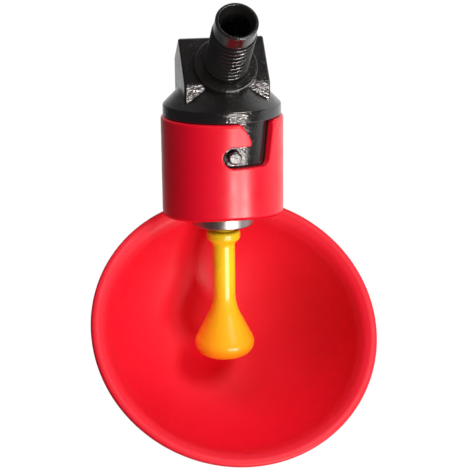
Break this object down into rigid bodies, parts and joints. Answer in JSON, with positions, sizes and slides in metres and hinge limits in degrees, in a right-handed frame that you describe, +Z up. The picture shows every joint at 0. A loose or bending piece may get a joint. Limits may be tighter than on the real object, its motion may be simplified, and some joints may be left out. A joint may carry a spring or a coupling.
{
  "type": "poultry drinking cup",
  "caption": "Round drinking bowl for poultry, hung by a bayonet collar from a threaded elbow valve that a tilting trigger opens.",
  "frame": {"origin": "middle of the inlet thread's length, on its axis", "axes": "+Z up along the inlet thread, as the cup hangs in use; -Y towards the bowl; X across, with the plane of symmetry at X = 0 apart from the bayonet slots"},
  "size_m": [0.08, 0.1109, 0.0935],
  "materials": {
    "cup_plastic": "moulded red polypropylene, satin gloss",
    "body_plastic": "moulded black acetal, gloss",
    "trigger_plastic": "moulded yellow acetal, gloss",
    "plunger_plastic": "natural acetal",
    "steel": "turned stainless steel",
    "rubber": "black rubber"
  },
  "bodies": {
    "valve": {"valve_body": "body_plastic", "nozzle": "steel", "seal_ring": "rubber", "valve_spring": "steel"},
    "cup": {"cup": "cup_plastic"},
    "plunger": {"plunger": "plunger_plastic", "sealing_washer": "rubber"},
    "ball": {"steel_ball": "steel"},
    "trigger": {"valve_pin": "steel", "trigger": "trigger_plastic"}
  },
  "joints": [
    {"name": "cup_twist", "type": "hinge", "parent": "valve", "child": "cup", "pos_m": [0, -0.00671, -0.02373], "axis": [0, 0.766, 0.6428], "range_deg": [-30, 3]},
    {"name": "trigger_lift", "type": "slide", "parent": "valve", "child": "plunger", "axis": [0, 0.766, 0.6428], "range_m": [0, 0.0008], "stiffness_N_per_m": 400, "springref_m": -0.002, "deforming": ["valve_spring"]},
    {"name": "trigger_tilt", "type": "hinge", "parent": "plunger", "child": "ball", "pos_m": [0, -0.02418, -0.03839], "axis": [1, 0, 0], "range_deg": [-4, 4], "stiffness_Nm_per_rad": 0.2},
    {"name": "trigger_sway", "type": "hinge", "parent": "ball", "child": "trigger", "pos_m": [0, -0.02418, -0.03839], "axis": [0, 0.6428, -0.766], "range_deg": [-4, 4], "stiffness_Nm_per_rad": 0.2}
  ]
}
